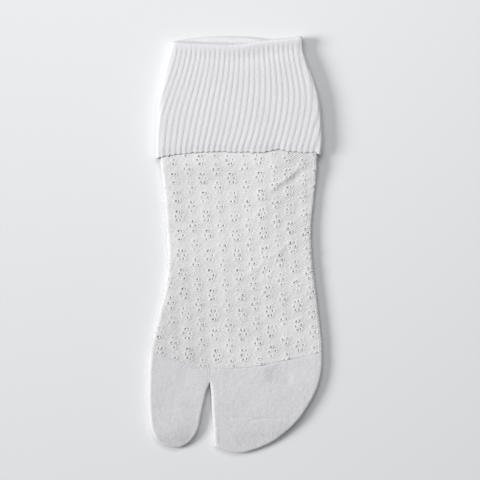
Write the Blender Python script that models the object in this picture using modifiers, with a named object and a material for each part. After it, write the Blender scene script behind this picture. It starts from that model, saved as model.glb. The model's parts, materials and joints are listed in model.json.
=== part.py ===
"""A knitted split-toe (tabi) sock for the left foot, laid flat on its sole.

Metres, +Z up. X runs across the foot, with the big toe at -X. Y runs along the foot, with the
toes at -Y and the mouth at +Y. The underside lies on Z = 0, and the origin is at the middle of
the underside. The ribbed cuff is turned down over itself, so it has two layers at the front and
two at the back, and the foot is joined to the lower end of its inner layer.
"""

from collections import namedtuple
from math import cos, pi, radians, sin

import bmesh
import bpy
import numpy as np

MM = 0.001

# Walls of the knitted cloth and the gaps between pieces, in millimetres.
RIB_WALL = 1.4
PANEL_WALL = 1.3
SOLE_WALL = 1.4
SEAM_GAP = 0.3
LAYER_GAP = 0.35

# Heights of the flattened tubes, in millimetres.
FOOT_HEIGHT = 3.8
FOOT_SINK = 0.5
FOLD_RADIUS = FOOT_HEIGHT / 2
SINK_REACH = 12.0
ON_RIM = 0.05
CUFF_HEIGHT = 7.3
CUFF_LIFT = RIB_WALL + LAYER_GAP

# Stations along the foot, in millimetres.
JOIN_Y = 56.0
LIFT_END_Y = 44.0
LIFT_START_Y = 30.0
CROTCH_Y = -72.6
SEAM_X = -13.5
FLANGE = 6.0

# The foot's outline seen from above: where its two side folds are at each station.
Edges = namedtuple("Edges", "along left right")
FOOT_EDGES = (
    Edges(-100.5, -42.4, 24.0),
    Edges(-96.9, -43.9, 28.4),
    Edges(-91.7, -44.9, 32.9),
    Edges(-86.4, -45.35, 36.6),
    Edges(-76.0, -45.5, 42.3),
    Edges(-65.5, -45.3, 45.1),
    Edges(-55.0, -44.2, 45.4),
    Edges(-39.4, -40.7, 44.1),
    Edges(-23.6, -37.0, 42.1),
    Edges(-8.0, -35.2, 40.4),
    Edges(7.7, -35.9, 39.8),
    Edges(23.4, -36.9, 41.0),
    Edges(37.8, -38.5, 42.5),
    Edges(48.5, -39.4, 42.7),
    Edges(56.0, -39.4, 42.6),
)

# The turned-down cuff's outline seen from above.
CUFF_EDGES = (
    Edges(45.0, -41.1, 44.3),
    Edges(54.8, -41.3, 44.5),
    Edges(65.2, -40.8, 43.8),
    Edges(75.7, -40.2, 42.9),
    Edges(86.2, -38.0, 39.9),
    Edges(96.6, -35.8, 36.4),
    Edges(104.5, -34.0, 34.8),
    Edges(109.5, -33.6, 34.6),
)

# Lines across the sock: how far along it each one lies, at each place across.
Line = namedtuple("Line", "across along")
FRONT_RIM = (
    Line(-34.0, 106.0),
    Line(-22.0, 104.6),
    Line(-13.3, 104.2),
    Line(5.0, 104.3),
    Line(11.8, 105.6),
    Line(28.6, 107.5),
    Line(35.0, 108.4),
)
BACK_RIM = (
    Line(-34.0, 106.0),
    Line(-22.0, 108.2),
    Line(-6.5, 109.3),
    Line(5.0, 109.0),
    Line(18.0, 107.4),
    Line(35.0, 108.4),
)
FREE_EDGE = (
    Line(-41.1, 45.6),
    Line(-32.6, 46.9),
    Line(-13.8, 48.4),
    Line(15.0, 48.6),
    Line(24.0, 49.2),
    Line(44.3, 48.1),
)
TOE_SEAM = (
    Line(-44.3, -56.0),
    Line(-36.8, -58.4),
    Line(-27.9, -61.8),
    Line(-19.0, -64.7),
    Line(-7.0, -64.7),
    Line(13.4, -63.0),
    Line(23.3, -60.8),
    Line(33.3, -58.9),
    Line(45.4, -55.8),
)
TOE_SEAM_UNDER = (
    Line(-44.3, -56.0),
    Line(-34.0, -57.2),
    Line(0.0, -58.2),
    Line(34.0, -57.2),
    Line(45.4, -55.8),
)
HEEL_GORE = (
    Line(-39.0, 34.0),
    Line(-28.0, 24.0),
    Line(-13.0, 16.0),
    Line(2.0, 13.5),
    Line(17.0, 16.0),
    Line(32.0, 24.0),
    Line(43.0, 34.0),
)
BACK_FREE_EDGE_DROP = 0.8

# The two pockets past the crotch: the sides of the split, and the tips between their corners.
Side = namedtuple("Side", "along across")
BIG_TOE_INNER = (
    Side(-102.6, -23.6),
    Side(-100.0, -21.3),
    Side(-97.4, -19.8),
    Side(-92.2, -18.4),
    Side(-86.9, -17.3),
    Side(-81.7, -16.2),
    Side(-76.5, -15.0),
    Side(CROTCH_Y, SEAM_X - SEAM_GAP / 2),
)
TOES_INNER = (
    Side(-105.3, -10.6),
    Side(-102.6, -11.1),
    Side(-97.4, -11.4),
    Side(-92.2, -11.9),
    Side(-81.7, -12.5),
    Side(-76.5, -12.8),
    Side(CROTCH_Y, SEAM_X + SEAM_GAP / 2),
)
BIG_TOE_TIP = (
    Line(-42.4, -100.5),
    Line(-40.3, -102.9),
    Line(-37.4, -104.8),
    Line(-33.2, -105.9),
    Line(-29.4, -105.8),
    Line(-26.2, -104.5),
    Line(-23.6, -102.6),
)
TOES_TIP = (
    Line(-10.6, -105.3),
    Line(-7.2, -107.0),
    Line(-2.0, -108.5),
    Line(3.5, -108.6),
    Line(9.4, -107.1),
    Line(15.0, -105.0),
    Line(21.2, -101.7),
    Line(27.5, -96.9),
    Line(32.9, -91.7),
)

WHITE_RIB = (0.83, 0.83, 0.86)
WHITE_LACE = (0.80, 0.80, 0.82)
WHITE_PLAIN = (0.74, 0.74, 0.77)
COTTON_ROUGHNESS = 0.9


def curve(table, at):
    """The smooth curve through a table of (place, value) rows, read at each place in at."""
    knots, values = (np.array(column, float) for column in zip(*table))
    order = np.argsort(knots)
    knots = knots[order]
    values = values[order]
    slopes = np.gradient(values, knots)
    at = np.clip(at, knots[0], knots[-1])
    low = np.clip(np.searchsorted(knots, at, side="right") - 1, 0, len(knots) - 2)
    step = knots[low + 1] - knots[low]
    t = (at - knots[low]) / step
    return (
        (2 * t**3 - 3 * t**2 + 1) * values[low]
        + (t**3 - 2 * t**2 + t) * step * slopes[low]
        + (3 * t**2 - 2 * t**3) * values[low + 1]
        + (t**3 - t**2) * step * slopes[low + 1]
    )


def left_of(edges, along):
    return curve([(row.along, row.left) for row in edges], along)


def right_of(edges, along):
    return curve([(row.along, row.right) for row in edges], along)


def smooth_step(low, high, value):
    t = np.clip((value - low) / (high - low), 0, 1)
    return t * t * (3 - 2 * t)


def rim_of_foot():
    """Points close together along the foot's outline, from its left end round the toes."""
    left = np.linspace(JOIN_Y + 20, BIG_TOE_TIP[0].along, 160)
    tip = np.linspace(BIG_TOE_TIP[0].across, BIG_TOE_TIP[-1].across, 40)
    split = np.linspace(BIG_TOE_TIP[-1].along, CROTCH_Y, 50)
    split_back = np.linspace(CROTCH_Y, TOES_TIP[0].along, 50)
    toes = np.linspace(TOES_TIP[0].across, TOES_TIP[-1].across, 60)
    right = np.linspace(TOES_TIP[-1].along, JOIN_Y + 20, 160)
    runs = (
        (left_of(FOOT_EDGES, left), left),
        (tip, curve(BIG_TOE_TIP, tip)),
        (curve(BIG_TOE_INNER, split), split),
        (curve(TOES_INNER, split_back), split_back),
        (toes, curve(TOES_TIP, toes)),
        (right_of(FOOT_EDGES, right), right),
    )
    return np.concatenate([np.stack(run, axis=1) for run in runs])


RIM = rim_of_foot()


def rim_distance(x, y):
    """How far inside the foot's outline each place is, and 0 for a place on it."""
    start = RIM[:-1]
    run = RIM[1:] - start
    place = np.stack([x, y], axis=-1)[..., None, :] - start
    share = np.clip((place * run).sum(-1) / np.maximum((run * run).sum(-1), 1e-12), 0, 1)
    distance = np.sqrt(((place - share[..., None] * run) ** 2).sum(-1)).min(-1)
    return np.maximum(distance - ON_RIM, 0)


def foot_height(x, y, top):
    """Height of the foot's outer surface, on its top or its underside."""
    inward = rim_distance(x, y)
    rise = np.sqrt(1 - (1 - np.clip(inward / FOLD_RADIUS, 0, 1)) ** 2)
    floor = CUFF_LIFT * smooth_step(LIFT_START_Y, LIFT_END_Y, y)
    middle = floor + FOOT_HEIGHT / 2
    if not top:
        return middle - rise * FOOT_HEIGHT / 2
    sink = FOOT_SINK * smooth_step(FOLD_RADIUS, FOLD_RADIUS + SINK_REACH, inward)
    return middle + rise * (FOOT_HEIGHT / 2) - sink


def across_stations(count, from_left=True, from_right=True):
    """Stations across a panel: the share of its width, and the shift in from a side fold."""
    fold = [FOLD_RADIUS * (1 - cos(radians(turn))) for turn in (0, 30, 60)]
    left = [(0.0, shift) for shift in fold] if from_left else []
    right = [(1.0, -shift) for shift in reversed(fold)] if from_right else []
    shares = np.linspace(0, 1, count + 1)
    start = FOLD_RADIUS if from_left else 0.0
    end = FOLD_RADIUS if from_right else 0.0
    middle = [(share, start * (1 - share) - end * share) for share in shares]
    return np.array(left + middle + right)


def tip_stations(split_share, before, after):
    """Stations along a pocket: the share of its length, and the shift back from its tip."""
    fold = [(1.0, FOLD_RADIUS * (1 - cos(radians(turn)))) for turn in (60, 30, 0)]
    shares = list(np.linspace(0, split_share, before + 1))
    shares += list(np.linspace(split_share, 1, after + 1))[1:]
    plain = [(share, FOLD_RADIUS * share) for share in shares]
    return np.array(plain + fold)


def add_sheet(mesh, x, y, z, outward_up):
    """Adds a grid of quads whose rows run along the sock and whose columns run across it."""
    rows, columns = x.shape
    points = [
        [mesh.verts.new((x[i, j] * MM, y[i, j] * MM, z[i, j] * MM)) for j in range(columns)]
        for i in range(rows)
    ]
    for i in range(rows - 1):
        for j in range(columns - 1):
            corners = [points[i][j], points[i][j + 1], points[i + 1][j + 1], points[i + 1][j]]
            if not outward_up:
                corners.reverse()
            mesh.faces.new(corners)


def finish_cloth(name, mesh, wall, colour, offset):
    """Welds the sheets where they meet and gives them the wall's thickness."""
    bmesh.ops.remove_doubles(mesh, verts=mesh.verts, dist=0.00002)
    data = bpy.data.meshes.new(name)
    mesh.to_mesh(data)
    mesh.free()
    data.shade_smooth()
    cloth = bpy.data.objects.new(name, data)
    sock.objects.link(cloth)
    solidify = cloth.modifiers.new("wall", "SOLIDIFY")
    solidify.thickness = wall * MM
    solidify.offset = offset
    solidify.use_even_offset = False
    material = bpy.data.materials.new(name)
    material.use_nodes = True
    shader = material.node_tree.nodes["Principled BSDF"]
    shader.inputs["Base Color"].default_value = (*colour, 1)
    shader.inputs["Roughness"].default_value = COTTON_ROUGHNESS
    shader.inputs["Metallic"].default_value = 0
    data.materials.append(material)
    return cloth


def across(stations, left_side, right_side, y):
    """Places across the foot at y, from a table of each station's share and shift."""
    left = left_side(y)
    return left + stations[:, 0] * (right_side(y) - left) + stations[:, 1]


def line_along(stations, left_side, right_side, line, start):
    """How far along the foot a line across it lies at each station, found by steps."""
    y = np.full(len(stations), float(start))
    for _ in range(12):
        y = line(across(stations, left_side, right_side, y))
    return y


def grid(stations, lengths, left_side, right_side, start_line, end_line):
    """Places of a grid between two lines across the foot, and its two sides along it."""
    start = line_along(stations, left_side, right_side, start_line, CROTCH_Y)
    end = line_along(stations, left_side, right_side, end_line, CROTCH_Y)
    share = lengths[:, 0][:, None]
    y = (1 - share) * start + share * end + lengths[:, 1][:, None]
    return across(stations, left_side, right_side, y), y


def left_fold(y):
    return left_of(FOOT_EDGES, y)


def right_fold(y):
    return right_of(FOOT_EDGES, y)


def even_lengths(rows):
    """Stations along a panel, evenly spaced, with no shift."""
    return np.stack([np.linspace(0, 1, rows + 1), np.zeros(rows + 1)], axis=1)


def make_instep():
    """The openwork front panel, which wraps both side folds and ends on the underside."""
    mesh = bmesh.new()

    def toe_end(x):
        return curve(TOE_SEAM, x) + SEAM_GAP / 2

    def toe_end_under(x):
        return curve(TOE_SEAM_UNDER, x) + SEAM_GAP / 2

    def cuff_end(x):
        return np.full_like(x, JOIN_Y)

    lengths = even_lengths(15)
    x, y = grid(across_stations(12), lengths, left_fold, right_fold, toe_end, cuff_end)
    add_sheet(mesh, x, y, foot_height(x, y, True), True)
    flange = across_stations(1, True, False)[:-1]
    flange = np.vstack([flange, [(0.0, FLANGE)]])
    for stations in (flange, (flange * (-1, -1) + (1, 0))[::-1]):
        x, y = grid(stations, lengths, left_fold, right_fold, toe_end_under, cuff_end)
        add_sheet(mesh, x, y, foot_height(x, y, False), False)
    return finish_cloth("instep", mesh, PANEL_WALL, WHITE_LACE, -1)


def underside_panel(name, rows, start_line, end_line):
    """A plain panel of the underside, between the instep's two flanges."""
    mesh = bmesh.new()
    inset = FLANGE + SEAM_GAP
    shares = np.linspace(0, 1, 11)
    stations = np.stack([shares, inset * (1 - 2 * shares)], axis=1)
    x, y = grid(stations, even_lengths(rows), left_fold, right_fold, start_line, end_line)
    add_sheet(mesh, x, y, foot_height(x, y, False), False)
    return finish_cloth(name, mesh, SOLE_WALL, WHITE_PLAIN, -1)


def make_sole():
    return underside_panel(
        "sole",
        11,
        lambda x: curve(TOE_SEAM_UNDER, x) + SEAM_GAP / 2,
        lambda x: curve(HEEL_GORE, x) - SEAM_GAP / 2,
    )


def make_heel():
    return underside_panel(
        "heel",
        7,
        lambda x: curve(HEEL_GORE, x) + SEAM_GAP / 2,
        lambda x: np.full_like(x, JOIN_Y),
    )


def make_pocket(name, left_side, right_side, tip, seam_side, columns):
    """A pocket of plain knit: a tube past the crotch, and open to its neighbour above it."""
    seam_start = curve(TOE_SEAM, np.array(SEAM_X)) - SEAM_GAP / 2
    seam_tip = tip[-1].along if seam_side == "right" else tip[0].along
    split_share = (seam_start - CROTCH_Y) / (seam_start - seam_tip - FOLD_RADIUS)
    lengths = tip_stations(float(split_share), 3, 7)
    stations = across_stations(columns)
    mesh = bmesh.new()
    for seam, top in ((TOE_SEAM, True), (TOE_SEAM_UNDER, False)):
        x, y = grid(
            stations,
            lengths,
            left_side,
            right_side,
            lambda x: curve(seam, x) - SEAM_GAP / 2,
            lambda x: curve(tip, x),
        )
        add_sheet(mesh, x[::-1], y[::-1], foot_height(x, y, top)[::-1], top)
    return finish_cloth(name, mesh, PANEL_WALL, WHITE_PLAIN, -1)


def make_big_toe_pocket():
    return make_pocket(
        "big_toe_pocket",
        left_fold,
        lambda y: curve(BIG_TOE_INNER, y),
        BIG_TOE_TIP,
        "right",
        7,
    )


def make_toes_pocket():
    return make_pocket(
        "toes_pocket",
        lambda y: curve(TOES_INNER, y),
        right_fold,
        TOES_TIP,
        "left",
        11,
    )


def cuff_ring(count):
    """Stations round the flattened cuff: share of its width, bulge past it, and rise."""
    shares = np.linspace(0, 1, count + 1)
    turns = [radians(turn) for turn in (67.5, 45, 22.5, 0, -22.5, -45, -67.5)]
    top = [(share, 0.0, 1.0) for share in shares]
    right = [(1.0, cos(turn), sin(turn)) for turn in turns]
    under = [(share, 0.0, -1.0) for share in shares[::-1]]
    left = [(0.0, -cos(turn), sin(turn)) for turn in reversed(turns)]
    return np.array(top + right + under + left)


def make_cuff():
    """The rib tube: up inside, over the rim, and down outside to its free edge."""
    outer_inset = RIB_WALL / 2
    inner_inset = CUFF_LIFT + RIB_WALL / 2
    roll = (inner_inset - outer_inset) / 2
    roll_inset = (inner_inset + outer_inset) / 2
    roll_drop = roll + RIB_WALL / 2
    ring = cuff_ring(14)
    share = ring[:, 0]
    bulge = ring[:, 1]
    rise = ring[:, 2]
    front = (1 + rise) / 2

    def ring_points(inset, along):
        left = left_of(CUFF_EDGES, along)
        right = right_of(CUFF_EDGES, along)
        bend = CUFF_HEIGHT / 2
        x = left + bend + share * (right - left - 2 * bend) + bulge * (bend - inset)
        z = CUFF_HEIGHT / 2 + rise * (CUFF_HEIGHT / 2 - inset)
        return x, z

    x, _ = ring_points(outer_inset, np.full_like(share, 100.0))
    rim = front * curve(FRONT_RIM, x) + (1 - front) * curve(BACK_RIM, x)
    x, _ = ring_points(outer_inset, np.full_like(share, 50.0))
    free_edge = curve(FREE_EDGE, x) - BACK_FREE_EDGE_DROP * (1 - front)
    start = np.full_like(share, JOIN_Y + SEAM_GAP)

    path = []
    for up in np.linspace(0, 1, 6)[:-1]:
        path.append((inner_inset, start + up * (rim - roll_drop - start)))
    for turn in np.linspace(0, pi, 6):
        path.append((roll_inset + roll * cos(turn), rim - roll_drop + roll * sin(turn)))
    for down in np.linspace(0, 1, 8)[1:]:
        path.append((outer_inset, rim - roll_drop + down * (free_edge - rim + roll_drop)))

    mesh = bmesh.new()
    loops = []
    for inset, along in path:
        x, z = ring_points(inset, along)
        loops.append([mesh.verts.new(p) for p in np.stack([x, along, z], axis=1) * MM])
    count = len(ring)
    for inner, outer in zip(loops, loops[1:]):
        for i in range(count):
            j = (i + 1) % count
            mesh.faces.new([inner[i], inner[j], outer[j], outer[i]])
    return finish_cloth("ribbed_cuff", mesh, RIB_WALL, WHITE_RIB, 0)


for old in list(bpy.data.objects):
    bpy.data.objects.remove(old, do_unlink=True)
sock = bpy.data.collections.new("tabi_sock")
bpy.context.scene.collection.children.link(sock)

make_instep()
make_sole()
make_heel()
make_big_toe_pocket()
make_toes_pocket()
make_cuff()
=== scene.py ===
"""The looks of the knitted split-toe sock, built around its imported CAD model.

Sizes are in millimetres until a mesh is made. X runs across the foot, Y along it, Z up. Each piece
is a knitted skin on the form of its CAD solids. A skin is laid out in the cloth's own stitches:
wales run along the sock, courses run across it.
"""

import json
from collections import namedtuple
from math import pi, radians

import bpy
import numpy as np
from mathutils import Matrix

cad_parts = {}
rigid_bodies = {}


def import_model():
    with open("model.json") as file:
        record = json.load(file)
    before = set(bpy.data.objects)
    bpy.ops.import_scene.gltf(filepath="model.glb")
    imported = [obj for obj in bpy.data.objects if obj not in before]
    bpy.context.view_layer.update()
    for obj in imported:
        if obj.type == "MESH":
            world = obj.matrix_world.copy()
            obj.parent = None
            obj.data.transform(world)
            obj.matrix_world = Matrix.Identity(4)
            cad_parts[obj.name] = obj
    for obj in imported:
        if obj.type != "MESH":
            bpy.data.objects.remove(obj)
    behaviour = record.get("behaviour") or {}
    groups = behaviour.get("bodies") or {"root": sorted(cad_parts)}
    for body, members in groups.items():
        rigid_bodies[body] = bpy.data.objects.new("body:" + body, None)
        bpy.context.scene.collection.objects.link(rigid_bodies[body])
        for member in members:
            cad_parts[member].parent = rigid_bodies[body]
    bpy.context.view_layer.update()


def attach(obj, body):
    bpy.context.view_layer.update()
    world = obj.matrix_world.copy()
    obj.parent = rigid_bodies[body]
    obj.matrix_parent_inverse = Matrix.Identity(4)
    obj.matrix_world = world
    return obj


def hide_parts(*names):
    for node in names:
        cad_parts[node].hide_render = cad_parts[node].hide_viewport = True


MM = 0.001

# Walls of the cloth. The sole is thick, because it is the white seen through the holes.
RIB_WALL = 1.1
LACE_WALL = 0.5
PLAIN_WALL = 1.0
SOLE_WALL = 2.2

# Heights of the two flattened tubes. The cuff's back lifts the foot that lies on it.
FOOT_HEIGHT = 3.8
FOLD_RADIUS = FOOT_HEIGHT / 2
CUFF_HEIGHT = 6.6
CUFF_BEND = CUFF_HEIGHT / 2
CUFF_LIFT = 1.4
LAYER_GAP = 0.35

# A fold is a quarter of a superellipse: round on the left and crisp on the right.
LEFT_FOLD_POWER = 2.4
RIGHT_FOLD_POWER = 4.6

# The top sinks between its folds: the foot, the openwork, and the openwork under the cuff.
FOOT_SINK = 0.2
LACE_SINK = 0.35
CUFF_END_SINK = 0.1
SINK_REACH = 12.0

# The toes' top comes down towards their tips. Their seam is tucked a little under the openwork.
TIP_THIN = 1.0
TUCK = 0.6
TUCK_DEPTH = 0.25

# A place this near the outline is on it, and a pocket's border is drawn onto it from further in.
ON_RIM = 0.05
RIM_PULL = 0.6

# Stations along the foot, and how far the openwork goes in on the underside.
JOIN_Y = 56.0
LACE_END_Y = 53.0
LIFT_END_Y = 44.0
LIFT_START_Y = 30.0
CROTCH_Y = -72.6
SEAM_X = -13.5
FLANGE = 6.0

# How far apart the stitches are, and the columns and rows of a skin.
RIBS_ROUND = 58
COLUMNS_PER_RIB = 8
CUFF_LENGTH = 58
CUFF_ROW = 0.75
LACE_STEP = 0.5
PLAIN_STEP = 0.5
WALE_PITCH = 1.0
COURSE_PITCH = 0.9
SOLE_WIDTH = 66
SOLE_STEP = 0.8
MOTIF_STITCHES = 12
FOLD_STATIONS = 6
FIND_STEPS = 14

# The foot's outline seen from above.
Edges = namedtuple("Edges", "along left right")
FOOT_EDGES = (
    Edges(-100.5, -42.4, 24.0),
    Edges(-96.9, -43.9, 28.4),
    Edges(-91.7, -44.9, 32.9),
    Edges(-86.4, -45.35, 36.6),
    Edges(-76.0, -45.5, 42.3),
    Edges(-65.5, -45.3, 45.1),
    Edges(-55.0, -44.2, 45.4),
    Edges(-39.4, -40.7, 44.1),
    Edges(-23.6, -37.0, 42.1),
    Edges(-8.0, -35.2, 40.4),
    Edges(7.7, -35.9, 39.8),
    Edges(23.4, -36.9, 41.0),
    Edges(37.8, -38.5, 42.5),
    Edges(48.5, -39.4, 42.7),
    Edges(56.0, -39.4, 42.6),
)
CUFF_EDGES = (
    Edges(45.0, -41.8, 45.3),
    Edges(54.8, -41.7, 45.4),
    Edges(65.2, -41.1, 44.9),
    Edges(75.7, -40.4, 43.9),
    Edges(86.2, -38.1, 40.9),
    Edges(96.6, -35.8, 37.2),
    Edges(104.5, -34.0, 35.3),
    Edges(109.5, -33.6, 35.0),
)

# Lines across the sock: how far along it each one lies, at each place across.
Line = namedtuple("Line", "across along")
FRONT_RIM = (
    Line(-34.0, 106.0),
    Line(-22.0, 104.6),
    Line(-13.3, 104.2),
    Line(5.0, 104.3),
    Line(11.8, 105.6),
    Line(28.6, 107.5),
    Line(35.0, 108.4),
)
BACK_RIM = (
    Line(-34.0, 106.0),
    Line(-22.0, 108.2),
    Line(-6.5, 109.3),
    Line(5.0, 109.0),
    Line(18.0, 107.4),
    Line(35.0, 108.4),
)
FREE_EDGE = (
    Line(-41.1, 45.6),
    Line(-32.6, 46.9),
    Line(-27.0, 47.4),
    Line(-13.8, 48.4),
    Line(0.0, 48.5),
    Line(15.0, 48.4),
    Line(22.5, 49.6),
    Line(29.5, 48.6),
    Line(44.3, 48.1),
)
TOE_SEAM = (
    Line(-44.3, -56.0),
    Line(-36.8, -58.4),
    Line(-27.9, -61.8),
    Line(-19.0, -64.7),
    Line(-7.0, -64.7),
    Line(13.4, -63.0),
    Line(23.3, -60.8),
    Line(33.3, -58.9),
    Line(45.4, -55.8),
)
TOE_SEAM_UNDER = (
    Line(-44.3, -56.0),
    Line(-34.0, -57.2),
    Line(0.0, -58.2),
    Line(34.0, -57.2),
    Line(45.4, -55.8),
)
HEEL_GORE = (
    Line(-39.0, 34.0),
    Line(-28.0, 24.0),
    Line(-13.0, 16.0),
    Line(2.0, 13.5),
    Line(17.0, 16.0),
    Line(32.0, 24.0),
    Line(43.0, 34.0),
)
BACK_FREE_EDGE_DROP = 0.8

# The split and the tips of the two pockets.
Side = namedtuple("Side", "along across")
BIG_TOE_INNER = (
    Side(-102.6, -23.6),
    Side(-100.0, -21.3),
    Side(-97.4, -19.8),
    Side(-92.2, -18.4),
    Side(-86.9, -17.3),
    Side(-81.7, -16.2),
    Side(-76.5, -15.0),
    Side(CROTCH_Y, SEAM_X),
)
TOES_INNER = (
    Side(-105.3, -10.6),
    Side(-102.6, -11.1),
    Side(-97.4, -11.4),
    Side(-92.2, -11.9),
    Side(-81.7, -12.5),
    Side(-76.5, -12.8),
    Side(CROTCH_Y, SEAM_X),
)
BIG_TOE_TIP = (
    Line(-42.4, -100.5),
    Line(-40.3, -102.9),
    Line(-37.4, -104.8),
    Line(-33.2, -105.9),
    Line(-29.4, -105.8),
    Line(-26.2, -104.5),
    Line(-23.6, -102.6),
)
TOES_TIP = (
    Line(-10.6, -105.3),
    Line(-7.2, -107.0),
    Line(-2.0, -108.5),
    Line(3.5, -108.6),
    Line(9.4, -107.1),
    Line(15.0, -105.0),
    Line(21.2, -101.7),
    Line(27.5, -96.9),
    Line(32.9, -91.7),
)

# Rows of the cuff's inner layer, as shares of the way from its lower end to the roll.
CUFF_INNER_ROWS = (0.0, 0.35, 0.6, 0.75, 0.85, 0.92, 0.96)

# Where three of the cuff's grooves run, ten ribs apart: the tube is a little twisted.
Groove = namedtuple("Groove", "along left middle right")
CUFF_GROOVES = (
    Groove(45.0, -33.8, -5.4, 25.3),
    Groove(49.5, -33.7, -4.9, 25.9),
    Groove(57.9, -33.0, -2.8, 28.0),
    Groove(66.3, -31.6, -0.8, 30.0),
    Groove(74.7, -29.4, 0.4, 31.1),
    Groove(83.0, -26.8, 1.5, 30.7),
    Groove(91.4, -24.4, 2.3, 29.4),
    Groove(99.8, -22.8, 2.4, 28.0),
    Groove(109.0, -22.6, 2.4, 27.6),
)

# The openwork's wales and courses: where the first wale runs, and the pitch of a stitch.
Wale = namedtuple("Wale", "along first pitch rise")
LACE_WALES = (
    Wale(-66.0, -23.6, 1.22, 3.8),
    Wale(-47.7, -25.0, 1.22, 3.8),
    Wale(-10.0, -27.8, 1.22, 3.8),
    Wale(25.0, -30.6, 1.225, 3.4),
    Wale(44.3, -33.3, 1.27, 1.7),
    Wale(58.0, -35.1, 1.27, 1.0),
)
Course = namedtuple("Course", "number along")
LACE_COURSES = (
    Course(-144, -79.4),
    Course(-108, -47.2),
    Course(-84, -26.3),
    Course(-60, -5.4),
    Course(-36, 15.0),
    Course(-24, 25.0),
    Course(0, 44.3),
    Course(24, 62.5),
)

# Holes of the two motifs, in stitches from the motif's middle.
Hole = namedtuple("Hole", "wale course")
LARGE_MOTIF = (
    Hole(-0.70, 2.6),
    Hole(0.70, 2.6),
    Hole(-1.25, 0.0),
    Hole(1.25, 0.0),
    Hole(-0.70, -2.6),
    Hole(0.70, -2.6),
)
SMALL_MOTIF = (
    Hole(0.0, 3.0),
    Hole(-1.1, 0.0),
    Hole(1.1, 0.0),
    Hole(0.0, -3.0),
)
HOLE_WALES = 0.32
HOLE_COURSES = 0.90
HOLE_BEAD = 0.24
HOLE_TAPER = 0.34
COLLAR_DEPTH = -0.30
# The stitches round a hole, as half stitches up and across from its middle, anticlockwise.
HOLE_RING = ((-1, -1), (-1, 0), (-1, 1), (0, 1), (1, 1), (1, 0), (1, -1), (0, -1))

# Soft creases: a ridge or trough between two places, with its half width and its height.
Crease = namedtuple("Crease", "x0 y0 x1 y1 width height")
TOP_CREASES = (
    Crease(36.0, 43.5, 17.0, 28.5, 1.3, 0.34),
    Crease(37.5, 40.0, 20.0, 26.5, 1.8, -0.26),
    Crease(30.0, 4.0, 17.0, -7.5, 1.3, 0.26),
    Crease(16.5, -7.5, 2.5, -18.0, 1.3, 0.22),
    Crease(3.0, -17.5, -8.5, -29.0, 1.5, 0.18),
    Crease(31.0, -0.5, 4.0, -22.0, 2.0, -0.18),
    Crease(-33.0, 20.0, -24.0, 6.0, 3.5, 0.15),
    Crease(-36.0, -36.0, -24.0, -52.0, 3.0, -0.15),
    Crease(20.0, -46.0, 40.0, -40.0, 3.0, 0.15),
    Crease(-5.0, -90.6, 17.0, -92.0, 0.8, -0.20),
    Crease(4.0, -92.6, 29.0, -91.4, 0.7, -0.20),
    Crease(17.0, -66.5, 30.0, -71.0, 3.0, -0.30),
    Crease(-38.0, -84.0, -24.0, -92.0, 4.0, 0.10),
)
UNDER_CREASES = (
    Crease(-26.0, -30.0, 6.0, -47.0, 2.6, 0.35),
    Crease(-4.0, 6.0, 30.0, -12.0, 2.2, 0.30),
    Crease(-30.0, -4.0, -12.0, 12.0, 2.4, 0.25),
    Crease(-14.0, 30.0, 20.0, 25.0, 2.8, 0.30),
)

# Colours of the cotton, as linear red, green and blue.
RIB_WHITE = (0.755, 0.755, 0.785)
LACE_WHITE = (0.78, 0.773, 0.788)
PLAIN_WHITE = (0.735, 0.728, 0.755)
FLOOR_WHITE = (0.80, 0.808, 0.822)

# The stitches' and fuzz's height in the bump, in metres.
BUMP_HEIGHT = 0.00012

# The lights and the camera, in metres and watts. The frame's width is seen at the floor.
Lamp = namedtuple("Lamp", "name place energy size")
LAMPS = (
    Lamp("soft_key", (-3.74, 0.12, 2.12), 170, 1.90),
    Lamp("soft_fill", (-0.02, 0.31, 0.52), 1.24, 0.40),
)
LAMP_COLOUR = (1.0, 0.995, 0.985)
SURROUND_COLOUR = (0.97, 0.985, 1.0, 1)
SURROUND_STRENGTH = 0.262
CAMERA_PLACE = (0.0024, 0.0025, 2.5)
SENSOR_WIDTH = 36.0
FRAME_WIDTH = 0.251


def columns_of(table):
    """A table's columns as arrays, in the order of its first column."""
    columns = np.array(table, float).T
    return columns[:, np.argsort(columns[0])]


def curve(table, at, column=1):
    """The smooth curve through a column of a table, read at places along its first column."""
    rows = columns_of(table)
    knots, values = rows[0], rows[column]
    slopes = np.gradient(values, knots)
    at = np.clip(at, knots[0], knots[-1])
    low = np.clip(np.searchsorted(knots, at, side="right") - 1, 0, len(knots) - 2)
    step = knots[low + 1] - knots[low]
    t = (at - knots[low]) / step
    return (
        (2 * t**3 - 3 * t**2 + 1) * values[low]
        + (t**3 - 2 * t**2 + t) * step * slopes[low]
        + (3 * t**2 - 2 * t**3) * values[low + 1]
        + (t**3 - t**2) * step * slopes[low + 1]
    )


def left_fold(along):
    """Where the foot's left fold is, at a place along it."""
    return curve(FOOT_EDGES, along, 1)


def right_fold(along):
    """Where the foot's right fold is, at a place along it."""
    return curve(FOOT_EDGES, along, 2)


def smooth_step(low, high, value):
    """Goes softly from 0 at the first value to 1 at the second."""
    t = np.clip((value - low) / (high - low), 0, 1)
    return t * t * (3 - 2 * t)


def wander(x, y, patch, seed):
    """Smooth variation between -1 and 1 over patches of about the given size."""
    table = np.random.default_rng(seed).uniform(-1, 1, (97, 97))
    u = np.asarray(x, float) / patch + 1000.0
    v = np.asarray(y, float) / patch + 1000.0
    i, j = np.floor(u).astype(int), np.floor(v).astype(int)
    s, t = u - i, v - j
    s, t = s * s * (3 - 2 * s), t * t * (3 - 2 * t)
    i, j, ii, jj = i % 97, j % 97, (i + 1) % 97, (j + 1) % 97
    low = table[i, j] * (1 - s) + table[ii, j] * s
    high = table[i, jj] * (1 - s) + table[ii, jj] * s
    return low * (1 - t) + high * t


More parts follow.
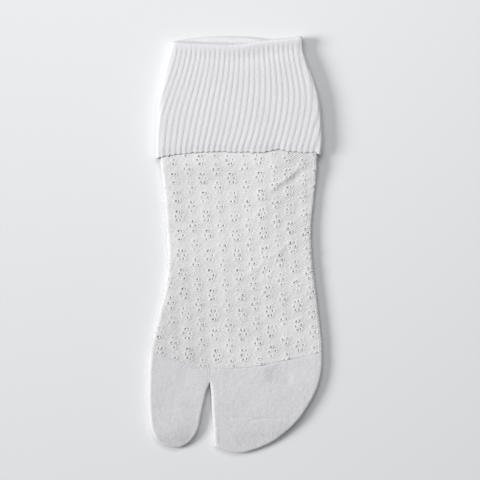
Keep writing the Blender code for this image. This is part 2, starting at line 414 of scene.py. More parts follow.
def crease_height(creases, x, y):
    """Height of the soft creases over each place."""
    height = np.zeros(np.broadcast(x, y).shape)
    for c in creases:
        run = np.array([c.x1 - c.x0, c.y1 - c.y0])
        length = np.hypot(*run)
        along = ((x - c.x0) * run[0] + (y - c.y0) * run[1]) / length
        bow = 0.05 * length * np.sin(pi * np.clip(along / length, 0, 1))
        off = ((y - c.y0) * run[0] - (x - c.x0) * run[1]) / length - bow
        ends = smooth_step(-2, 0.3 * length, along) * smooth_step(-2, 0.3 * length, length - along)
        height = height + c.height * ends * np.exp(-((off / c.width) ** 2))
    return height


def rim_of_foot():
    """Points close together along the foot's outline, from its left end round the toes."""
    left = np.linspace(JOIN_Y + 20, BIG_TOE_TIP[0].along, 240)
    tip = np.linspace(BIG_TOE_TIP[0].across, BIG_TOE_TIP[-1].across, 60)
    split = np.linspace(BIG_TOE_TIP[-1].along, CROTCH_Y, 60)
    split_back = np.linspace(CROTCH_Y, TOES_TIP[0].along, 60)
    toes = np.linspace(TOES_TIP[0].across, TOES_TIP[-1].across, 80)
    right = np.linspace(TOES_TIP[-1].along, JOIN_Y + 20, 240)
    runs = (
        (left_fold(left), left),
        (tip, curve(BIG_TOE_TIP, tip)),
        (curve(BIG_TOE_INNER, split), split),
        (curve(TOES_INNER, split_back), split_back),
        (toes, curve(TOES_TIP, toes)),
        (right_fold(right), right),
    )
    return np.concatenate([np.stack(run, axis=1) for run in runs])


RIM = rim_of_foot()


def rim_distance(x, y):
    """How far inside the foot's outline each place is, and which side of it the outline is on.

    The side is -1 where the nearest outline is straight to the left and 1 where it is to the
    right.
    """
    distance, side = np.empty(x.shape), np.empty(x.shape)
    start, run = RIM[:-1], np.diff(RIM, axis=0)
    square = np.maximum((run * run).sum(1), 1e-12)
    every = np.arange(x.shape[1])
    for row in range(len(x)):
        gap = np.stack([x[row], y[row]], axis=1)[:, None] - start
        share = np.clip((gap * run).sum(-1) / square, 0, 1)
        gap = gap - share[..., None] * run
        far = np.sqrt((gap**2).sum(-1))
        nearest = far.argmin(1)
        distance[row] = far[every, nearest]
        side[row] = -gap[every, nearest, 0] / np.maximum(distance[row], ON_RIM)
    return np.maximum(distance - ON_RIM, 0), side


def foot_floor(y):
    """Height of the foot's underside, which rises over the cuff's turned-down back."""
    return CUFF_LIFT * smooth_step(LIFT_START_Y, LIFT_END_Y, y)


def fold_power(side):
    """How crisp a fold is: round on the sock's left (side -1), crisp on its right (side 1)."""
    share = 0.5 + 0.5 * np.clip(side, -1, 1)
    return LEFT_FOLD_POWER + (RIGHT_FOLD_POWER - LEFT_FOLD_POWER) * share


def foot_height(inward, side, y, top):
    """Height of the foot's outer surface, on its top or its underside, inwards of its outline."""
    power = fold_power(side)
    outward = 1 - np.clip(inward / FOLD_RADIUS, 0, 1)
    rise = (1 - outward**power) ** (1 / power)
    middle = foot_floor(y) + FOOT_HEIGHT / 2
    if not top:
        return middle - rise * FOOT_HEIGHT / 2
    sink = FOOT_SINK * smooth_step(FOLD_RADIUS, FOLD_RADIUS + SINK_REACH, inward)
    thin = TIP_THIN * smooth_step(-90, -107, y) * smooth_step(14, 2, inward)
    return middle + rise * (FOOT_HEIGHT / 2 - thin) - sink


def wrapped(place, left, right, bend, inset=0.0):
    """Turns a distance across the front into a place round a flattened tube.

    Past a fold the distance goes on round the bend and back along the underside. Returns the
    place across, the height over the tube's underside, and how far past the fold it is.
    """
    past_left = left + bend - place
    past_right = place - (right - bend)
    past = np.maximum(np.maximum(past_left, past_right), 0)
    side = np.where(past_left > past_right, -1.0, 1.0)
    turn = np.clip(past / bend, 0, pi)
    power = fold_power(side)
    out = np.abs(np.sin(turn)) ** (2 / power)
    up = np.sign(np.cos(turn)) * np.abs(np.cos(turn)) ** (2 / power)
    under = np.maximum(past - pi * bend, 0)
    edge = np.where(side < 0, left + bend, right - bend)
    flat = np.clip(place, left + bend, right - bend)
    bent = edge + side * ((bend - inset) * out - under)
    x = np.where(past > 0, bent, flat)
    return x, bend + (bend - inset) * up, past


# ---------------------------------------------------------------- cloth from grids of places

Patch = namedtuple("Patch", "places form relief stitch chart faces")


def chart_of(rows, columns, part=0, parts=1):
    """A grid's own place on the map of its piece, which its parts share side by side."""
    v, u = np.meshgrid(np.linspace(0, 1, rows), np.linspace(0, 1, columns), indexing="ij")
    return np.stack([(part + 0.01 + 0.98 * u) / parts, v], axis=-1)


def patch(x, y, z, relief, wale, course, strength=1.0, form=0.0, keep=None, part=0, parts=1):
    """A grid of places, with the relief to add and the stitch that each place is at.

    The strength says how clearly the stitches show there and how much painted shade their grooves
    get. The form moves both faces of the cloth, and the relief only its outer face.
    """
    rows, columns = x.shape
    number = np.arange(rows * columns).reshape(rows, columns)
    corners = (number[:-1, :-1], number[:-1, 1:], number[1:, 1:], number[1:, :-1])
    faces = np.stack(corners, axis=-1)
    faces = faces.reshape(-1, 4) if keep is None else faces[keep]
    places = np.stack([x, y, z], axis=-1).reshape(-1, 3)
    stitch = np.stack(np.broadcast_arrays(wale, course, strength + 0.0 * x), axis=-1).reshape(-1, 3)
    form, relief = (np.broadcast_to(height, x.shape).ravel() for height in (form, relief))
    chart = chart_of(rows, columns, part, parts).reshape(-1, 2)
    return Patch(places, form, relief, stitch, chart, faces)


def weld(places, near):
    """Joins points that lie together. Returns each point's own number after that."""
    cells = np.round(places / near).astype(np.int64)
    _, first, number = np.unique(cells, axis=0, return_index=True, return_inverse=True)
    return first[number.ravel()]


def doubled(faces):
    """Which faces lie back to back on the same four points, as where a top meets an underside."""
    _, number, times = np.unique(
        np.sort(faces, axis=1), axis=0, return_inverse=True, return_counts=True
    )
    return times[number.ravel()] > 1


def outward(places, faces):
    """The direction out of a skin at each of its points."""
    one, two, three, four = (places[faces[:, k]] for k in range(4))
    across = np.cross(three - one, four - two)
    normals = np.zeros_like(places)
    for k in range(4):
        np.add.at(normals, faces[:, k], across)
    length = np.linalg.norm(normals, axis=1, keepdims=True)
    return normals / np.maximum(length, 1e-12)


def open_edges(faces):
    """The edges with a face on one side only, each running the way its face does."""
    starts, ends = faces.ravel(), np.roll(faces, -1, axis=1).ravel()
    size = faces.max() + 1
    there, back = starts * size + ends, ends * size + starts
    alone = ~np.isin(there, back) & (starts != ends)
    return starts[alone], ends[alone]


def knit(name, patches, wall, near=0.01):
    """Makes one cloth of its patches: an outer face with its relief, an inner face and a rim.

    The outer face stays on or above the floor.
    """
    firsts = np.cumsum([0] + [len(p.places) for p in patches])
    corners = np.concatenate([p.faces + first for p, first in zip(patches, firsts)])
    places, form, relief, stitch, chart = (
        np.concatenate([getattr(p, field) for p in patches])
        for field in ("places", "form", "relief", "stitch", "chart")
    )
    owner = weld(places, near)
    faces = owner[corners]
    flat = (faces == np.roll(faces, -1, axis=1)).sum(axis=1) > 1
    faces, corners = faces[~flat], corners[~flat]
    alone = ~doubled(faces)
    faces, corners = faces[alone], corners[alone]
    normals = outward(places, faces)
    outer = places + normals * (form + relief)[:, None]
    inner = places + normals * (form - wall)[:, None]
    outer[:, 2] = np.maximum(outer[:, 2], 0.0)

    used, faces_now = np.unique(faces, return_inverse=True)
    faces_now = faces_now.reshape(-1, 4)
    count = len(used)
    starts, ends = open_edges(faces_now)
    rim = np.stack([ends, starts, starts + count, ends + count], axis=1)
    back = faces_now[:, ::-1] + count
    all_faces = np.concatenate([faces_now, back, rim])
    stitch_of = np.zeros((len(places), 3))
    stitch_of[owner] = stitch
    rim_stitch = stitch_of[used][np.stack([ends, starts, starts, ends], axis=1)]
    loops_stitch = np.concatenate([stitch[corners], stitch[corners[:, ::-1]], rim_stitch])

    front_chart = chart[corners] * (1, 0.47) + (0, 0.01)
    back_chart = chart[corners[:, ::-1]] * (1, 0.47) + (0, 0.50)
    step = 1 / max(len(rim), 1)
    low = np.arange(len(rim)) * step
    rim_chart = np.stack([low + 0.8 * step, low, low, low + 0.8 * step], axis=1)
    rim_rows = np.broadcast_to([0.98, 0.98, 0.99, 0.99], rim_chart.shape)
    rim_chart = np.stack([rim_chart, rim_rows], axis=-1)
    loops_chart = np.concatenate([front_chart, back_chart, rim_chart])

    data = bpy.data.meshes.new(name)
    data.from_pydata(np.concatenate([outer[used], inner[used]]) * MM, [], tidy(all_faces))
    keep = kept_corners(all_faces)
    attribute = data.attributes.new("stitch", "FLOAT_VECTOR", "CORNER")
    attribute.data.foreach_set("vector", loops_stitch.reshape(-1, 3)[keep].astype(np.float32).ravel())
    charts = data.uv_layers.new(name="OFBake").uv
    charts.foreach_set("vector", loops_chart.reshape(-1, 2)[keep].astype(np.float32).ravel())
    data.shade_smooth()
    cloth = bpy.data.objects.new(name, data)
    bpy.context.scene.collection.objects.link(cloth)
    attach(cloth, "root")
    return cloth


def kept_corners(faces):
    """Which corners stay when a face has two of its points joined into one."""
    return (faces != np.roll(faces, 1, axis=1)).ravel()


def tidy(faces):
    """Faces as lists of points, with a face that has two points joined made a triangle."""
    keep = kept_corners(faces).reshape(faces.shape)
    return [[int(v) for v, k in zip(face, kept) if k] for face, kept in zip(faces, keep)]


# ---------------------------------------------------------------- the turned-down ribbed cuff


def rib_place(number, along):
    """Distance across the front at which each rib runs, at a station along the cuff."""
    left, middle, right = (curve(CUFF_GROOVES, along, k) for k in (1, 2, 3))
    first = left + number * (middle - left) / 10
    second = middle + (number - 10) * (right - middle) / 10
    return np.where(number < 10, first, second)


def round_cuff(number, along, inset):
    """Places of the cuff's stitches at a station along it, each way round the tube."""
    left, right = curve(CUFF_EDGES, along, 1), curve(CUFF_EDGES, along, 2)
    quarter = CUFF_BEND * pi / 2
    front_start, front_end = left + CUFF_BEND - quarter, right - CUFF_BEND + quarter
    pitch_left = (rib_place(10.0, along) - rib_place(0.0, along)) / 10
    pitch_right = (rib_place(20.0, along) - rib_place(10.0, along)) / 10
    first = (front_start - rib_place(0.0, along)) / pitch_left
    last = 10 + (front_end - rib_place(10.0, along)) / pitch_right
    turned = first + np.mod(number - first, RIBS_ROUND)
    behind = turned > last
    share = (turned - last) / (first + RIBS_ROUND - last)
    half = front_end - front_start
    place = np.where(behind, front_end + share * half, rib_place(turned, along))
    mirrored = np.where(behind, front_start + front_end - (place - half), place)
    x, z, _ = wrapped(mirrored, left, right, CUFF_BEND, inset)
    z = np.where(behind, CUFF_HEIGHT - z, z)
    return x, z, behind


def make_cuff():
    """The rib, up inside the mouth, over the rim in a soft roll and down outside."""
    inner = 2 * CUFF_LIFT - LAYER_GAP
    roll = inner / 2
    number = np.linspace(0, RIBS_ROUND, RIBS_ROUND * COLUMNS_PER_RIB + 1)
    turns = np.linspace(0, pi, 11)
    downs = np.linspace(0, 1, int(CUFF_LENGTH / CUFF_ROW))[1:]
    path = [(inner, 0.0, up) for up in CUFF_INNER_ROWS]
    path += [(roll + roll * np.cos(turn), np.sin(turn), 1.0) for turn in turns]
    path += [(0.0, 0.0, 1.0 - down) for down in downs]
    inset, bulge, share = (np.array(column)[:, None] for column in zip(*path))
    inset = inset * np.ones_like(number)
    top_of_roll = len(CUFF_INNER_ROWS) + len(turns) // 2
    outside = (np.arange(len(path)) >= top_of_roll)[:, None]

    along = np.full(inset.shape, 77.0)
    for _ in range(3):
        x, z, behind = round_cuff(number, along, inset)
        front = smooth_step(0.0, CUFF_HEIGHT, z)
        rim = front * curve(FRONT_RIM, x) + (1 - front) * curve(BACK_RIM, x) - roll
        low = curve(FREE_EDGE, x) - BACK_FREE_EDGE_DROP * (1 - front)
        # The free edge is scalloped, uneven and hangs a little at its right end.
        low = low + 0.20 * np.cos(2 * pi * number) + 0.30 * wander(x + z, 0 * z, 2.6, 5)
        low = low - 0.9 * front * smooth_step(41.8, 43.6, x)
        low = np.where(outside, low, JOIN_Y)
        along = low + share * (rim - low) + bulge * roll
    drop = rim + roll - along

    # The rim is fuller than the layer below it, which sinks, and the free edge is pressed flat.
    swell = np.where(outside, 0.65, 0.35) * np.exp(-((drop / 2.4) ** 2)) * front
    valley = np.where(outside, -0.6 * np.exp(-(((drop - 7.0) / 3.2) ** 2)) * front, 0.0)
    curl = np.where(outside, -0.3 * (1 - smooth_step(0, 9, along - low)) * front, 0.0)
    thin = np.where(outside, -0.5 * (1 - smooth_step(0, 4, along - low)) * front, 0.0)

    # Noise is read from places that run on round the folds, so that it has no seam.
    turn, run = x + 0.7 * z, along + z
    phase = number + 0.06 * wander(turn, run, 8.0, 11) + 0.02 * wander(turn, run, 1.8, 12)
    off = np.abs(phase - np.round(phase))
    rib = np.mod(np.round(phase), RIBS_ROUND)
    depth = 0.12 * (0.95 + 0.14 * wander(rib * 7.3, along / 5.0, 1.0, 13))
    faint = 0.12 + 0.88 * smooth_step(1.2, 4.2, drop)
    groove = -depth * faint * np.exp(-((off / 0.15) ** 2))
    ridge = -0.015 * faint * np.cos(2 * pi * phase)
    fluff = 0.05 * wander(turn, run, 0.8, 14)
    form = swell + valley + curl
    relief = (groove + ridge) * (1 + thin) + fluff + thin
    # Painted shade in the grooves: less on the inner layer and none near the rim, so the rolled rim
    # is painted lighter than the ribs below.
    clear = smooth_step(1.5, 4.5, drop) * np.where(outside, 1.0, 0.6)
    fields = np.broadcast_arrays(x, along, z, relief, number * 2, along / CUFF_ROW, clear, form)
    fields = [field[:, ::-1] for field in fields]
    return knit("rib_cuff", [patch(*fields)], RIB_WALL)


# ---------------------------------------------------------------- the openwork instep


def lace_place(wale, course):
    """Distance across the front and place along of the openwork's stitches."""
    along = curve(LACE_COURSES, course)
    row = along
    for _ in range(3):
        across = curve(LACE_WALES, along, 1) + wale * curve(LACE_WALES, along, 2)
        rise = curve(LACE_WALES, along, 3) * (np.clip(across + 5, 0, 45) / 33) ** 2
        left_rise = 1.5 * smooth_step(-12, -34, across) * smooth_step(10, -40, along)
        along = row + rise + left_rise
    return across, along


def motif_middles():
    """Middle of every motif on the openwork, and its holes."""
    half = MOTIF_STITCHES // 2
    for i in range(-2, 9):
        for j in range(-13, 2):
            wale, course = i * MOTIF_STITCHES, j * MOTIF_STITCHES
            yield wale, course, LARGE_MOTIF
            yield wale + half, course + half, SMALL_MOTIF


def lay_instep(wale, course):
    """Lays stitches of the openwork on the foot, round its side folds to the sole and heel.

    Returns each stitch's place, how far it is past a fold, and whether it is off the panel.
    """
    across, along = lace_place(wale, course)
    left, right = left_fold(along), right_fold(along)
    reach = pi * FOLD_RADIUS - FOLD_RADIUS + FLANGE
    start, end = left + FOLD_RADIUS - reach, right - FOLD_RADIUS + reach
    off = (across < start) | (across > end)
    x, z, past = wrapped(np.clip(across, start, end), left, right, FOLD_RADIUS)
    under = past > FOLD_RADIUS * pi / 2
    seam = np.where(under, curve(TOE_SEAM_UNDER, x), curve(TOE_SEAM, x))
    off |= (along < seam) | (along > LACE_END_Y)
    along = np.clip(along, seam, LACE_END_Y)
    left, right = left_fold(along), right_fold(along)
    across = np.clip(across, left + FOLD_RADIUS - reach, right - FOLD_RADIUS + reach)
    x, z, past = wrapped(across, left, right, FOLD_RADIUS)

    inward = np.minimum(x - left, right - x)
    deep = LACE_SINK + (CUFF_END_SINK - LACE_SINK) * smooth_step(30, 42, along)
    sink = deep * smooth_step(FOLD_RADIUS, FOLD_RADIUS + SINK_REACH, inward)
    crease = crease_height(TOP_CREASES, x, along) + 0.12 * wander(x, along, 13.0, 34)
    toe = smooth_step(0, 6, along - seam)
    soft = crease * smooth_step(0, 4, inward) - sink * (toe + (1 - toe) * FOOT_SINK / LACE_SINK)
    z = z + foot_floor(along) + np.where(past < FOLD_RADIUS * pi / 2, soft, 0)
    return x, along, z, past, off


def ground_strength(x, along):
    """How clearly the ground's slanting rows show, in their relief and in their painted groove shade:
    most low on the left and on the right.
    """
    low_left = smooth_step(5, -60, along) * smooth_step(25, -40, x)
    right = 0.6 * smooth_step(5, 40, x) * smooth_step(-60, -10, along)
    return 0.45 + 0.6 * np.maximum(low_left, right) + 0.25 * wander(x, along, 9.0, 31)


def ground_relief(wale, course, x, along):
    """Relief of the openwork's ground: slanting rows of small eyelets."""
    slant = 0.5 + 0.5 * np.cos(pi * (wale + course))
    eyelet = (np.mod(wale + course, 2) == 0) & (np.mod(wale, 1) == 0)
    uneven = 0.75 + 0.25 * np.random.default_rng(32).uniform(-1, 1, wale.shape)
    relief = 0.05 * np.cos(2 * pi * wale) + 0.05 * wander(x, along, 0.8, 33)
    return relief - ground_strength(x, along) * uneven * (0.18 * slant + 0.30 * eyelet)


def open_holes(wale, course, relief, keep):
    """Opens the motifs' holes in a grid of stitches and raises a bead round each.

    Moves the eight stitches round a hole to its rim. Returns each hole's middle and its row and
    column in the grid.
    """
    random = np.random.default_rng(21)
    first_wale, first_course = wale[0, 0], course[0, 0]
    opened = []
    for middle_wale, middle_course, holes in motif_middles():
        for hole in holes:
            shift = random.uniform(-0.12, 0.12, 2)
            size = random.uniform(0.72, 1.14)
            closed = random.random() < 0.15
            u = middle_wale + hole.wale + shift[0]
            v = middle_course + hole.course + shift[1] * 2
            row, column = round((v - first_course) / LACE_STEP), round((u - first_wale) / LACE_STEP)
            if not (3 < row < wale.shape[0] - 4 and 3 < column < wale.shape[1] - 4):
                continue
            near = slice(row - 2, row + 3), slice(column - 2, column + 3)
            relief[near] = np.maximum(relief[near], 0.0) + 0.05
            if closed:
                relief[row, column] = -0.45
                continue
            for up, over in HOLE_RING:
                reach = max(1.0, 0.88 * np.hypot(up, over))
                wale[row + up, column + over] = u + size * HOLE_WALES * over / reach
                course[row + up, column + over] = v + size * HOLE_COURSES * up / reach
                relief[row + up, column + over] = HOLE_BEAD
            keep[row - 1 : row + 1, column - 1 : column + 1] = False
            opened.append((u, v, row, column))
    return opened


def hole_collars(wale, course, relief, opened):
    """A sloping collar inside every hole, from its bead down to a smaller opening."""
    chart = chart_of(*wale.shape)
    reliefs, stitches, charts, faces = [], [], [], []
    for number, (u, v, row, column) in enumerate(opened):
        rows = np.array([row + up for up, _ in HOLE_RING])
        columns = np.array([column + over for _, over in HOLE_RING])
        rim = np.stack([wale[rows, columns], course[rows, columns]], axis=-1)
        inner = np.array([u, v]) + (rim - (u, v)) * HOLE_TAPER
        middle = chart[row, column]
        rim_chart = chart[rows, columns]
        stitches += [rim, inner]
        reliefs += [relief[rows, columns], np.full(8, COLLAR_DEPTH)]
        charts += [rim_chart, middle + (rim_chart - middle) * 0.5]
        first = number * 16
        faces += [
            (first + k, first + (k + 1) % 8, first + 8 + (k + 1) % 8, first + 8 + k) for k in range(8)
        ]
    stitch = np.concatenate(stitches)
    x, y, z, _, off = lay_instep(stitch[:, 0], stitch[:, 1])
    faces = np.array(faces)
    faces = faces[~off[faces].all(axis=1)]
    stitch = np.concatenate([stitch, np.zeros((len(stitch), 1))], axis=1)
    # The collars get half the painted groove shade.
    stitch[:, 2] = 0.5
    places = np.stack([x, y, z], axis=-1)
    relief = np.concatenate(reliefs)
    return Patch(places, 0 * relief, relief, stitch, np.concatenate(charts), faces)


def make_instep():
    """The openwork panel, which wraps both side folds and ends on the underside."""
    wale, course = np.meshgrid(np.arange(-20, 76, LACE_STEP), np.arange(-136, 12, LACE_STEP))
    x, along, *_ = lay_instep(wale, course)
    relief = ground_relief(wale, course, x, along)
    keep = np.ones((wale.shape[0] - 1, wale.shape[1] - 1), bool)
    opened = open_holes(wale, course, relief, keep)
    x, along, z, past, off = lay_instep(wale, course)
    keep &= ~(off[:-1, :-1] & off[1:, :-1] & off[:-1, 1:] & off[1:, 1:])
    flat_relief = np.where(past > FOLD_RADIUS * 2.4, np.minimum(relief, 0) * 0.5, relief)
    collars = hole_collars(wale, course, flat_relief, opened)
    # The ground's painted groove shade follows the strength of its slanting rows.
    strength = ground_strength(x, along)
    ground = patch(x, along, z, flat_relief, wale, course, strength, keep=keep)
    return knit("openwork_instep", [ground, collars], LACE_WALL)


# ---------------------------------------------------------------- the plain pieces


def stations(width):
    """Stations across a pocket, closer together at its two folds.

    Each is a share of the pocket's width, a shift in from a fold, the wale it lies on, and
    whether it is on the flat between the folds.
    """
    turns = np.radians(np.linspace(0, 90, FOLD_STATIONS + 1))[:-1]
    fold = FOLD_RADIUS * (1 - np.cos(turns))
    count = int(width / PLAIN_STEP)
    wales = count * PLAIN_STEP / WALE_PITCH
    left = [(0.0, shift, shift - FOLD_RADIUS, 0) for shift in fold]
    right = [(1.0, -shift, wales + FOLD_RADIUS - shift, 0) for shift in fold[::-1]]
    shares = np.linspace(0, 1, count + 1)
    middle = [(share, FOLD_RADIUS * (1 - 2 * share), share * wales, 1) for share in shares]
    return np.array(left + middle + right)


def across_at(table, left_side, right_side, y):
    """The places across the foot of a table's stations, between its two sides."""
    left = left_side(y)
    return left + table[:, 0] * (right_side(y) - left) + table[:, 1]


def line_along(table, left_side, right_side, line):
    """How far along the foot a line across it lies at each station, found by steps."""
    y = np.full(len(table), CROTCH_Y)
    for _ in range(FIND_STEPS):
        y = line(across_at(table, left_side, right_side, y))
    return y


def grid(table, lengths, left_side, right_side, start_line, end_line):
    """Places of a grid between two lines across the foot, and its two sides along it."""
    start = line_along(table, left_side, right_side, start_line)
    end = line_along(table, left_side, right_side, end_line)
    share = lengths[:, 0][:, None]
    y = (1 - share) * start + share * end + lengths[:, 1][:, None]
    return across_at(table, left_side, right_side, y), y


def pocket_patches(left_side, right_side, tip, seam_tip, width, length, seed, big_toe):
    """The top and the underside of one toe pocket."""
    seam_start = float(curve(TOE_SEAM, SEAM_X)) + TUCK
    split = (seam_start - CROTCH_Y) / (seam_start - seam_tip - FOLD_RADIUS)
    before = np.linspace(0, split, 17)
    after = np.linspace(split, 1, int(length / PLAIN_STEP))[1:]
    turns = np.radians(np.linspace(90, 0, FOLD_STATIONS + 1))[1:]
    tip_shift = FOLD_RADIUS * (1 - np.cos(turns))
    shares = np.concatenate([before, after])
    flat = np.stack([shares, FOLD_RADIUS * shares], axis=1)
    end = np.stack([np.ones(FOLD_STATIONS), tip_shift], axis=1)
    lengths = np.concatenate([flat, end])
    table = stations(width)
    wale = table[:, 2] - table[-1 if big_toe else 0, 2]
    start = line_along(table, left_side, right_side, lambda place: curve(TOE_SEAM, place) + TUCK)
    under = line_along(table, left_side, right_side, lambda place: curve(TOE_SEAM_UNDER, place))
    under = np.maximum(under, start)
    end = line_along(table, left_side, right_side, lambda place: curve(tip, place))
    share = lengths[:, 0][:, None]
    tall = (1 - share) * start + share * end + lengths[:, 1][:, None]
    extra = np.linspace(1, 0, 13)[:-1][:, None]
    patches = []
    for top in (True, False):
        y = tall if top else np.concatenate([extra * under + (1 - extra) * start, tall])
        x = across_at(table, left_side, right_side, y)
        inward, side = rim_distance(x, y)
        for border in (np.s_[:, 0], np.s_[:, -1], np.s_[-1]):
            inward[border] = np.where(inward[border] < RIM_PULL, 0, inward[border])
        z = foot_height(inward, side, y, top)
        # A patch of looser knit on the top of the toes: sunk a little, with deeper wales and more
        # painted shade in their grooves.
        loose_shaded_patch = smooth_step(15, 19, x) * smooth_step(31, 27, x)
        loose_shaded_patch = top * loose_shaded_patch * smooth_step(-74, -71, y) * smooth_step(-63, -66, y)
        # The wales' relief and their painted groove shade: full on the big toe, fainter and patchy on
        # the other toes.
        clear = (1.0 if big_toe else 0.35) * (1 + 0.5 * wander(x, y, 6.0, seed)) + loose_shaded_patch
        relief = 0.11 * clear * np.cos(2 * pi * wale) * table[:, 3] - 0.15 * loose_shaded_patch
        fluff = 0.05 * wander(x, y, 0.7, seed + 1) + 0.05 * wander(x, y * 0.6, 1.6, seed + 2)
        relief = (relief + fluff) * smooth_step(-0.2, 1.0, inward)
        if top:
            crease = crease_height(TOP_CREASES, x, y) + 0.10 * wander(x, y, 10.0, seed + 3)
            z = z + crease * smooth_step(0, 4, inward) - TUCK_DEPTH * smooth_step(1.5, 0, start - y)
        fields = [field[::-1] for field in (x, y, z, relief, wale + 0 * x, -y / COURSE_PITCH, clear)]
        if not top:
            fields = [field[:, ::-1] for field in fields]
        patches.append(patch(*fields, part=2 * big_toe + top, parts=4))
    return patches


def make_toes():
    """Both toe pockets, one piece of knit that parts at the split."""
    big = pocket_patches(
        left_fold,
        lambda y: curve(BIG_TOE_INNER, y),
        BIG_TOE_TIP,
        BIG_TOE_TIP[-1].along,
        width=28,
        length=29,
        seed=41,
        big_toe=True,
    )
    rest = pocket_patches(
        lambda y: curve(TOES_INNER, y),
        right_fold,
        TOES_TIP,
        TOES_TIP[0].along,
        width=55,
        length=32,
        seed=51,
        big_toe=False,
    )
    return knit("split_toe", big + rest, PLAIN_WALL, near=0.02)


def make_underside(name, start_line, end_line, length, seed):
    """A plain panel of the underside, between the instep's two flanges."""
    shares = np.linspace(0, 1, int(SOLE_WIDTH / SOLE_STEP) + 1)
    table = np.stack([shares, FLANGE * (1 - 2 * shares)], axis=1)
    rows = np.linspace(0, 1, int(length / SOLE_STEP) + 1)
    lengths = np.stack([rows, np.zeros_like(rows)], axis=1)
    x, y = grid(table, lengths, left_fold, right_fold, start_line, end_line)
    z = foot_floor(y)
    number = np.arange(len(table))[None, :] * SOLE_STEP + 0 * x
    row = np.arange(len(lengths))[:, None] + 0 * x
    edge = smooth_step(0, 3, np.minimum(shares, 1 - shares) * SOLE_WIDTH)
    lift = crease_height(UNDER_CREASES, x, y) + 0.1 + 0.1 * wander(x, y, 12.0, seed)
    relief = 0.04 * wander(x, y, 0.9, seed + 1) - 0.05 - np.maximum(lift, 0) * edge
    fields = [field[:, ::-1] for field in (x, y, z, relief, number, row)]
    return knit(name, [patch(*fields)], SOLE_WALL)


def make_sole():
    """The plain panel from the toe seam to the heel."""
    return make_underside(
        "plain_sole",
        lambda x: curve(TOE_SEAM_UNDER, x),
        lambda x: curve(HEEL_GORE, x),
        78,
        61,
    )


def make_heel():
    """The plain panel from the heel's gore line to the join inside the cuff."""
    return make_underside(
        "plain_heel",
        lambda x: curve(HEEL_GORE, x),
        lambda x: np.full_like(x, LACE_END_Y),
        34,
        71,
    )


# ---------------------------------------------------------------- materials


def add_node(tree, kind, **settings):
    """A node of a material, with its settings."""
    node = tree.nodes.new(kind)
    for name, value in settings.items():
        setattr(node, name, value)
    return node


def math_node(tree, operation, *values):
    """A Math node whose inputs are links or numbers."""
    node = add_node(tree, "ShaderNodeMath", operation=operation)
    for socket, value in zip(node.inputs, values):
        if isinstance(value, (int, float)):
            socket.default_value = value
        else:
            tree.links.new(value, socket)
    return node.outputs[0]


def stitch_parts(tree):
    """The wale, the course and the strength of the stitch that a place is at."""
    stitch = add_node(tree, "ShaderNodeAttribute", attribute_name="stitch")
    parts = add_node(tree, "ShaderNodeSeparateXYZ")
    tree.links.new(stitch.outputs["Vector"], parts.inputs[0])
    return parts.outputs["X"], parts.outputs["Y"], parts.outputs["Z"]


def slanting_rows(tree, wale, course, across, up):
    """Waves between 0 and 1 over the stitches, as many to a wale and to a course as given."""
    phase = math_node(tree, "MULTIPLY_ADD", course, up, math_node(tree, "MULTIPLY", wale, across))
    wave = math_node(tree, "COSINE", math_node(tree, "MULTIPLY", phase, 2 * pi))
    return math_node(tree, "MULTIPLY_ADD", wave, 0.5, 0.5)


def chevrons(tree, wale, course):
    """Height of plain knit: two legs to a stitch, slanting opposite ways."""
    across = math_node(tree, "PINGPONG", wale, 0.5)
    leg = math_node(tree, "SINE", math_node(tree, "MULTIPLY_ADD", course, 2 * pi, across))
    body = math_node(tree, "SINE", math_node(tree, "MULTIPLY", across, 2 * pi))
    return math_node(tree, "MULTIPLY_ADD", leg, 0.3, math_node(tree, "ABSOLUTE", body))


def cloudy(tree, place, scale, detail):
    """Even noise over the piece, between 0 and 1."""
    noise = add_node(tree, "ShaderNodeTexNoise")
    noise.inputs["Scale"].default_value = scale
    noise.inputs["Detail"].default_value = detail
    tree.links.new(place, noise.inputs["Vector"])
    return noise.outputs["Fac"]


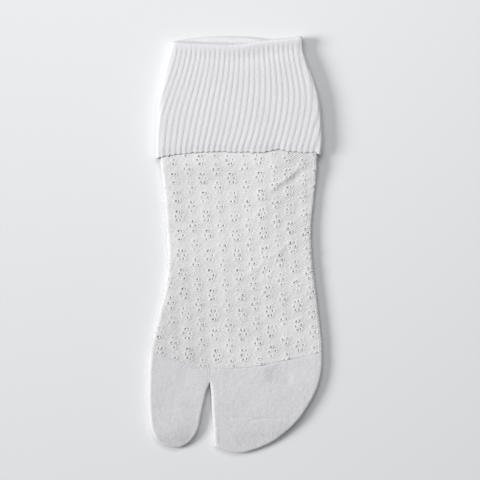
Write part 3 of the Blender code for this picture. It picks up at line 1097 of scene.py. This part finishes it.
def cotton(name, colour, rows, shade, bump, sheen):
    """White cotton knit: stitches and fuzz as bump, faint blotches as colour, and painted shade in
    the grooves between its rows.
    """
    material = bpy.data.materials.new(name)
    material.use_nodes = True
    tree = material.node_tree
    shader = tree.nodes["Principled BSDF"]
    shader.inputs["Metallic"].default_value = 0
    shader.inputs["IOR"].default_value = 1.45
    shader.inputs["Specular IOR Level"].default_value = 0.25
    shader.inputs["Sheen Weight"].default_value = sheen
    shader.inputs["Sheen Roughness"].default_value = 0.6
    shader.inputs["Sheen Tint"].default_value = (1, 1, 1, 1)
    place = add_node(tree, "ShaderNodeTexCoord").outputs["Object"]
    wale, course, strength = stitch_parts(tree)
    waves = slanting_rows(tree, wale, course, *rows)

    blotch = cloudy(tree, place, 90, 4)
    speckle = cloudy(tree, place, 1400, 3)
    tone = math_node(tree, "MULTIPLY", blotch, 0.25)
    tone = math_node(tree, "MULTIPLY_ADD", speckle, 0.75, tone)
    ramp = add_node(tree, "ShaderNodeValToRGB")
    ramp.color_ramp.elements[0].position = 0.35
    ramp.color_ramp.elements[0].color = (*(0.95 * value for value in colour), 1)
    ramp.color_ramp.elements[1].position = 0.65
    ramp.color_ramp.elements[1].color = (*(min(1.0, 1.04 * value) for value in colour), 1)
    tree.links.new(tone, ramp.inputs["Fac"])
    # Painted shade: the colour is darker along the knit's grooves, the more so where the stitch's
    # strength is high, and a little lighter elsewhere.
    painted_shade = math_node(tree, "MULTIPLY", math_node(tree, "MULTIPLY", waves, strength), shade)
    light = math_node(tree, "SUBTRACT", 1.0 + shade / 4, painted_shade)
    shaded = add_node(tree, "ShaderNodeVectorMath", operation="SCALE")
    tree.links.new(ramp.outputs["Color"], shaded.inputs[0])
    tree.links.new(light, shaded.inputs["Scale"])
    tree.links.new(shaded.outputs["Vector"], shader.inputs["Base Color"])

    rough = math_node(tree, "MULTIPLY_ADD", speckle, 0.16, 0.82)
    tree.links.new(rough, shader.inputs["Roughness"])

    height = math_node(tree, "MULTIPLY_ADD", painted_shade, -4.0, chevrons(tree, wale, course))
    height = math_node(tree, "MULTIPLY_ADD", cloudy(tree, place, 2600, 2), 0.7, height)
    node = add_node(tree, "ShaderNodeBump")
    node.inputs["Strength"].default_value = bump
    node.inputs["Distance"].default_value = BUMP_HEIGHT
    tree.links.new(height, node.inputs["Height"])
    tree.links.new(node.outputs["Normal"], shader.inputs["Normal"])
    return material


def dress(cloth, material):
    """Gives a cloth its material."""
    cloth.data.materials.clear()
    cloth.data.materials.append(material)


# ---------------------------------------------------------------- stage


def make_floor():
    """The plain pale surface that the sock lies on."""
    bpy.ops.mesh.primitive_plane_add(size=6.0, location=(0, 0, -0.0001))
    floor = bpy.context.object
    floor.name = "pale_floor"
    material = bpy.data.materials.new("pale_floor")
    material.use_nodes = True
    shader = material.node_tree.nodes["Principled BSDF"]
    shader.inputs["Base Color"].default_value = (*FLOOR_WHITE, 1)
    shader.inputs["Roughness"].default_value = 0.85
    shader.inputs["Specular IOR Level"].default_value = 0.2
    floor.data.materials.append(material)


def add_light(lamp):
    """A round soft light at its place, turned to the middle of the sock."""
    light = bpy.data.lights.new(lamp.name, "AREA")
    light.shape = "DISK"
    light.size = lamp.size
    light.energy = lamp.energy
    light.color = LAMP_COLOUR
    holder = bpy.data.objects.new(lamp.name, light)
    bpy.context.scene.collection.objects.link(holder)
    holder.location = lamp.place
    holder.rotation_euler = (-holder.location).to_track_quat("-Z", "Y").to_euler()
    holder.visible_camera = False


def make_lights():
    """A soft light low on the left, a fill that fades away from the mouth, an even surround."""
    for lamp in LAMPS:
        add_light(lamp)
    world = bpy.data.worlds.new("pale_surround")
    bpy.context.scene.world = world
    world.use_nodes = True
    surround = world.node_tree.nodes["Background"]
    surround.inputs["Color"].default_value = SURROUND_COLOUR
    surround.inputs["Strength"].default_value = SURROUND_STRENGTH
    bpy.context.scene.view_settings.view_transform = "Standard"


def make_camera():
    """Straight above, with a long lens."""
    camera = bpy.data.cameras.new("camera")
    holder = bpy.data.objects.new("camera", camera)
    bpy.context.scene.collection.objects.link(holder)
    camera.sensor_width = SENSOR_WIDTH
    camera.lens = SENSOR_WIDTH * CAMERA_PLACE[2] / FRAME_WIDTH
    camera.clip_end = 20
    holder.location = CAMERA_PLACE
    bpy.context.scene.camera = holder


def main():
    for old in list(bpy.data.objects):
        bpy.data.objects.remove(old, do_unlink=True)
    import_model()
    make_camera()
    make_floor()
    make_lights()

    # Each cotton's rows of painted groove shade: the rib's grooves, the openwork's slanting rows, the
    # plain knit's wales.
    rib = cotton("white_rib_knit", RIB_WHITE, (0.5, 0), shade=0.13, bump=0.3, sheen=0.02)
    lace = cotton("white_openwork_knit", LACE_WHITE, (0.85, 0.64), shade=0.32, bump=0.6, sheen=0.02)
    plain = cotton("white_plain_knit", PLAIN_WHITE, (1, 0), shade=0.06, bump=0.6, sheen=0.02)

    cuff = make_cuff()
    dress(cuff, rib)
    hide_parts("ribbed_cuff")
    instep = make_instep()
    dress(instep, lace)
    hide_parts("instep")
    toes = make_toes()
    dress(toes, plain)
    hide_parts("big_toe_pocket", "toes_pocket")
    sole = make_sole()
    dress(sole, plain)
    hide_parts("sole")
    heel = make_heel()
    dress(heel, plain)
    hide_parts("heel")

    bpy.context.view_layer.update()


main()
